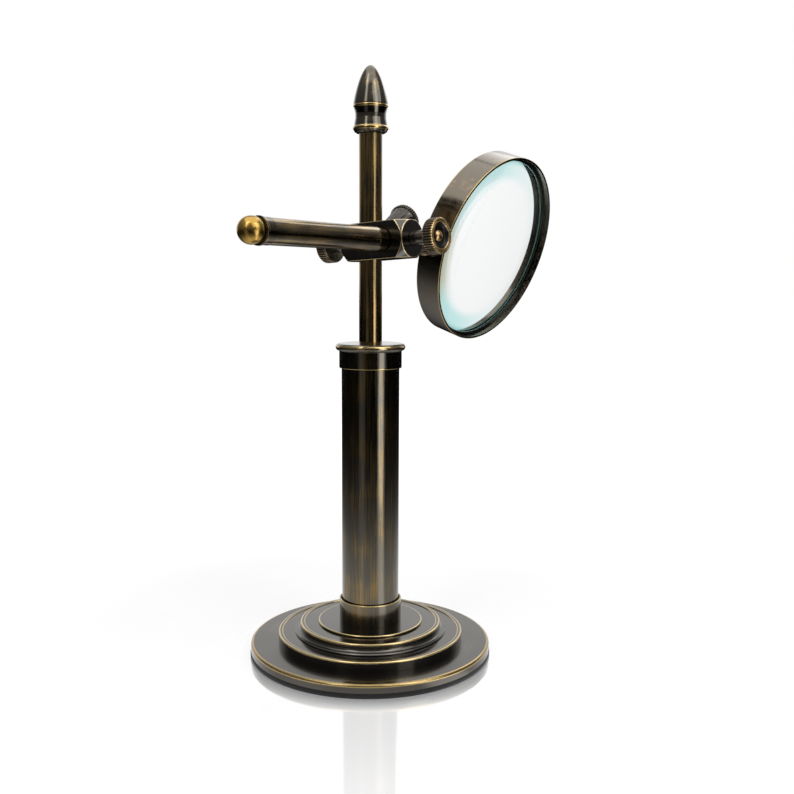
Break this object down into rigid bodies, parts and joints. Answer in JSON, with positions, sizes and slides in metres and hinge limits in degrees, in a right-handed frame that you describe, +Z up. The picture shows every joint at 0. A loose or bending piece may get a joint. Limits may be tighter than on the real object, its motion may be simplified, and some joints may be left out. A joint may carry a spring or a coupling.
{
  "type": "stand magnifier",
  "caption": "Stand magnifier: a stepped round base, a column and slim rod, and a clamp that holds a cross arm with a framed lens at one end and a ball at the other.",
  "frame": {"origin": "centre of the felt pad's underside, on the table", "axes": "+Z up along the column and the rod; +X along the cross arm, towards the lens; the clamp bar crosses along Y"},
  "size_m": [0.2659, 0.1364, 0.3246],
  "materials": {
    "felt": "matte",
    "dark_bronze": "black-brown antique patina, polished",
    "worn_bronze": "antique patina rubbed through to brass",
    "bright_brass": "polished",
    "iron": "as cast",
    "steel": "plain turned",
    "lens_glass": "polished clear"
  },
  "bodies": {
    "stand": {"felt_pad": "felt", "base_plate": "dark_bronze", "ballast_weight": "iron", "base_screws": "steel", "middle_step": "dark_bronze", "upper_step": "dark_bronze", "top_disc": "worn_bronze", "column_socket": "dark_bronze", "column_tube": "dark_bronze", "tube_plug": "worn_bronze", "column_cap": "dark_bronze", "tie_rod": "steel", "tie_washer": "steel", "tie_nut": "steel", "rod": "worn_bronze", "finial": "worn_bronze", "finial_stud": "steel"},
    "height_liner": {"rod_liner": "bright_brass"},
    "clamp": {"clamp_block": "dark_bronze"},
    "rod_screw": {"rod_lock_screw": "worn_bronze", "rod_lock_knob": "worn_bronze"},
    "arm_screw": {"arm_lock_screw": "worn_bronze", "arm_lock_knob": "worn_bronze"},
    "back_screw": {"back_lock_screw": "worn_bronze", "back_lock_knob": "dark_bronze"},
    "twist_liner": {"arm_liner": "bright_brass"},
    "arm": {"arm_rod": "worn_bronze", "arm_ferrule": "dark_bronze", "ball_stud": "steel", "arm_ball": "bright_brass", "ring_boss": "dark_bronze", "lens_ring": "worn_bronze", "retaining_ring": "worn_bronze", "lens": "lens_glass"}
  },
  "joints": [
    {"name": "clamp_height", "type": "slide", "parent": "stand", "child": "height_liner", "axis": [0, 0, 1], "range_m": [-0.043, 0.045]},
    {"name": "clamp_swivel", "type": "hinge", "parent": "height_liner", "child": "clamp", "pos_m": [0, 0, 0.232], "axis": [0, 0, 1], "continuous": true},
    {"name": "arm_twist", "type": "hinge", "parent": "clamp", "child": "twist_liner", "pos_m": [0, -0.015, 0.232], "axis": [0.9999, 0, -0.014], "continuous": true},
    {"name": "arm_slide", "type": "slide", "parent": "twist_liner", "child": "arm", "axis": [0.9999, 0, -0.014], "range_m": [-0.003, 0.083]},
    {"name": "rod_screw_turn", "type": "hinge", "parent": "clamp", "child": "rod_screw", "pos_m": [0, 0, 0.23111], "axis": [0, 0.9982, -0.0593], "range_deg": [0, 720]},
    {"name": "arm_screw_turn", "type": "hinge", "parent": "clamp", "child": "arm_screw", "pos_m": [0, -0.015, 0.232], "axis": [0, -0.9982, 0.0593], "range_deg": [0, 720]},
    {"name": "back_screw_turn", "type": "hinge", "parent": "clamp", "child": "back_screw", "pos_m": [0, 0, 0.23111], "axis": [0.9259, 0.0224, 0.3772], "range_deg": [0, 720]}
  ]
}
